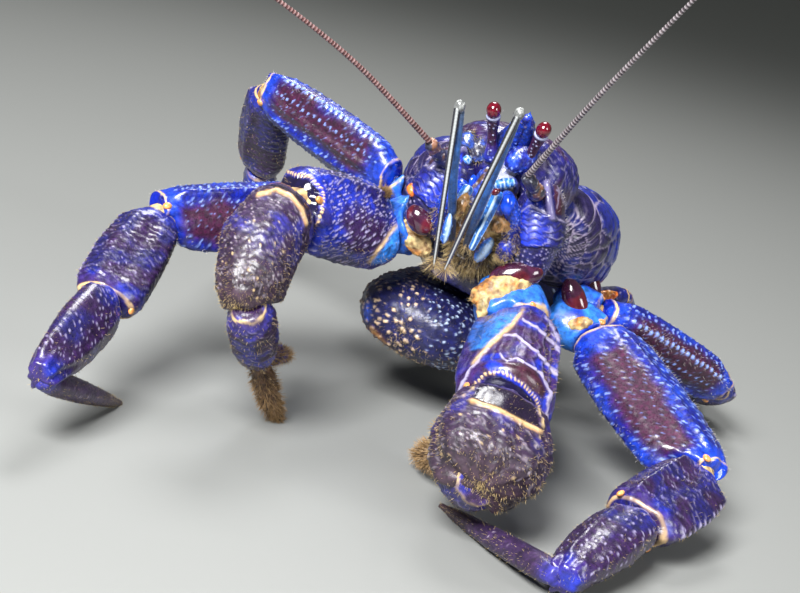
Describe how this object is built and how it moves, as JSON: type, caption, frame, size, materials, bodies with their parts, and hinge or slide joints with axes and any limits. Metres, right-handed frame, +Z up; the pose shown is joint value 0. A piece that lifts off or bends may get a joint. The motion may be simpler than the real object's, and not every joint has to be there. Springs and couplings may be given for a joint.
{
  "type": "coconut crab",
  "caption": "Life-size blue and purple coconut crab model, standing with claws folded down, long jointed legs, red eyes on stalks and ringed antennae.",
  "frame": {"origin": "middle of the crab's bounding box at the floor it stands on", "axes": "+Z up, the crab faces -Y, +X is its left"},
  "size_m": [0.2324, 0.3284, 0.1865],
  "materials": {
    "shell": "satin blue and violet shell with pale tubercles",
    "joint": "pale blue shell with cream membranes at the joints",
    "claw": "purple-brown granular shell",
    "finger": "brown shell with thick bristles",
    "feeler": "grey, ringed",
    "eye": "polished ruby red",
    "stalk": "dark violet",
    "abdomen": "navy with cream granules"
  },
  "bodies": {
    "root": {"abdomen_bulb": "abdomen", "abdomen_root": "abdomen", "abdomen_tail": "abdomen", "antenna_left": "feeler", "antenna_right": "feeler", "antenna_root_left": "joint", "antenna_root_right": "joint", "antennule_left": "feeler", "antennule_right": "feeler", "cheek_left": "shell", "cheek_right": "shell", "claw_left_carpus": "claw", "claw_left_finger": "finger", "claw_left_ischium": "joint", "claw_left_merus": "shell", "claw_left_palm": "shell", "claw_right_carpus": "claw", "claw_right_finger": "finger", "claw_right_ischium": "joint", "claw_right_merus": "shell", "claw_right_palm": "shell", "eye_left": "eye", "eye_right": "eye", "eye_stalk_left": "stalk", "eye_stalk_right": "stalk", "gill_cover_left": "shell", "gill_cover_right": "shell", "heart_region": "shell", "leg2_left_carpus": "shell", "leg2_left_coxa": "joint", "leg2_left_dactyl": "claw", "leg2_left_merus": "shell", "leg2_left_propodus": "shell", "leg2_right_carpus": "shell", "leg2_right_coxa": "joint", "leg2_right_dactyl": "claw", "leg2_right_merus": "shell", "leg2_right_propodus": "shell", "leg3_left_carpus": "shell", "leg3_left_coxa": "joint", "leg3_left_dactyl": "claw", "leg3_left_merus": "shell", "leg3_left_propodus": "shell", "leg3_right_carpus": "shell", "leg3_right_coxa": "joint", "leg3_right_dactyl": "claw", "leg3_right_merus": "shell", "leg3_right_propodus": "shell", "leg4_left_carpus": "shell", "leg4_left_hand": "claw", "leg4_left_merus": "shell", "leg4_right_carpus": "shell", "leg4_right_hand": "claw", "leg4_right_merus": "shell", "maxilliped_left": "joint", "maxilliped_right": "joint", "mouth": "joint", "shield": "shell", "thorax": "joint"}
  },
  "joints": []
}
